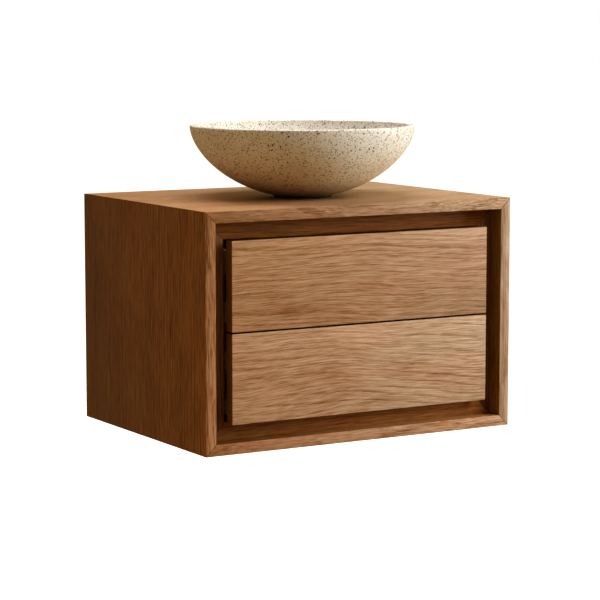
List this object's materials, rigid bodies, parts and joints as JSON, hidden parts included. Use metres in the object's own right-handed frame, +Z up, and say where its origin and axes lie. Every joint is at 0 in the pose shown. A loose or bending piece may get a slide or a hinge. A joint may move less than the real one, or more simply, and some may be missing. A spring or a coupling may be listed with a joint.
{
  "type": "bathroom vanity cabinet",
  "caption": "Wall-hung oak vanity with mitred carcass, set-back inner frame, handleless full-extension drawers and a round stone basin.",
  "frame": {"origin": "centre of the four wall fixing holes, on the plane of the wall", "axes": "+Y out of the back into the wall, +X to the right as seen from the front, +Z up; the front faces -Y"},
  "size_m": [0.6, 0.455, 0.525],
  "materials": {
    "oak_carcass": "satin",
    "oak_frame": "satin",
    "oak_front": "satin",
    "birch_board": "matte",
    "drawer_box_birch": "satin",
    "basin_stone": "satin",
    "runner_steel": "satin",
    "cage_steel": "polished",
    "screw_steel": "satin",
    "black_rubber": "matte",
    "chrome_waste": "polished"
  },
  "bodies": {
    "root": {"top_panel": "oak_carcass", "bottom_panel": "oak_carcass", "left_side_panel": "oak_carcass", "right_side_panel": "oak_carcass", "frame_top_rail": "oak_frame", "frame_bottom_rail": "oak_frame", "frame_left_stile": "oak_frame", "frame_right_stile": "oak_frame", "back_panel": "birch_board", "upper_fixing_rail": "birch_board", "lower_fixing_rail": "birch_board", "upper_left_batten": "birch_board", "upper_right_batten": "birch_board", "lower_left_batten": "birch_board", "lower_right_batten": "birch_board", "batten_screws": "screw_steel", "runner_cabinet_screws": "screw_steel", "runner_buffers": "black_rubber", "basin": "basin_stone", "basin_seal": "black_rubber", "waste_body": "chrome_waste", "waste_flange_seal": "black_rubber", "waste_washer": "black_rubber", "waste_nut": "chrome_waste", "upper_left_outer_runner": "runner_steel", "upper_right_outer_runner": "runner_steel", "lower_left_outer_runner": "runner_steel", "lower_right_outer_runner": "runner_steel"},
    "upper_drawer": {"upper_drawer_front": "oak_front", "upper_box_front": "drawer_box_birch", "upper_box_left_side": "drawer_box_birch", "upper_box_right_side": "drawer_box_birch", "upper_box_back_left": "drawer_box_birch", "upper_box_back_right": "drawer_box_birch", "upper_box_bottom": "drawer_box_birch", "upper_well_left": "drawer_box_birch", "upper_well_right": "drawer_box_birch", "upper_well_front": "drawer_box_birch", "upper_drawer_screws": "screw_steel", "upper_left_inner_runner": "runner_steel", "upper_right_inner_runner": "runner_steel"},
    "upper_middle_runners": {"upper_left_middle_runner": "runner_steel", "upper_right_middle_runner": "runner_steel"},
    "upper_outer_cages": {"upper_outer_ball_cages": "cage_steel"},
    "upper_inner_cages": {"upper_inner_ball_cages": "cage_steel"},
    "lower_drawer": {"lower_drawer_front": "oak_front", "lower_box_front": "drawer_box_birch", "lower_box_left_side": "drawer_box_birch", "lower_box_right_side": "drawer_box_birch", "lower_box_back": "drawer_box_birch", "lower_box_bottom": "drawer_box_birch", "lower_drawer_screws": "screw_steel", "lower_left_inner_runner": "runner_steel", "lower_right_inner_runner": "runner_steel"},
    "lower_middle_runners": {"lower_left_middle_runner": "runner_steel", "lower_right_middle_runner": "runner_steel"},
    "lower_outer_cages": {"lower_outer_ball_cages": "cage_steel"},
    "lower_inner_cages": {"lower_inner_ball_cages": "cage_steel"},
    "waste_plug": {"waste_plug": "chrome_waste"}
  },
  "joints": [
    {"name": "upper_drawer_slide", "type": "slide", "parent": "root", "child": "upper_drawer", "axis": [0, -1, 0], "range_m": [0, 0.34]},
    {"name": "upper_middle_runner_slide", "type": "slide", "parent": "root", "child": "upper_middle_runners", "axis": [0, -1, 0], "range_m": [0, 0.17]},
    {"name": "upper_outer_cage_slide", "type": "slide", "parent": "root", "child": "upper_outer_cages", "axis": [0, -1, 0], "range_m": [0, 0.085]},
    {"name": "upper_inner_cage_slide", "type": "slide", "parent": "root", "child": "upper_inner_cages", "axis": [0, -1, 0], "range_m": [0, 0.255]},
    {"name": "lower_drawer_slide", "type": "slide", "parent": "root", "child": "lower_drawer", "axis": [0, -1, 0], "range_m": [0, 0.34]},
    {"name": "lower_middle_runner_slide", "type": "slide", "parent": "root", "child": "lower_middle_runners", "axis": [0, -1, 0], "range_m": [0, 0.17]},
    {"name": "lower_outer_cage_slide", "type": "slide", "parent": "root", "child": "lower_outer_cages", "axis": [0, -1, 0], "range_m": [0, 0.085]},
    {"name": "lower_inner_cage_slide", "type": "slide", "parent": "root", "child": "lower_inner_cages", "axis": [0, -1, 0], "range_m": [0, 0.255]},
    {"name": "waste_plug_press", "type": "slide", "parent": "root", "child": "waste_plug", "axis": [0, 0, 1], "range_m": [0, 0.006]}
  ],
  "couplings": [
    {"joint": "upper_middle_runner_slide", "follows": "upper_drawer_slide", "ratio": 0.5},
    {"joint": "upper_outer_cage_slide", "follows": "upper_drawer_slide", "ratio": 0.25},
    {"joint": "upper_inner_cage_slide", "follows": "upper_drawer_slide", "ratio": 0.75},
    {"joint": "lower_middle_runner_slide", "follows": "lower_drawer_slide", "ratio": 0.5},
    {"joint": "lower_outer_cage_slide", "follows": "lower_drawer_slide", "ratio": 0.25},
    {"joint": "lower_inner_cage_slide", "follows": "lower_drawer_slide", "ratio": 0.75}
  ]
}
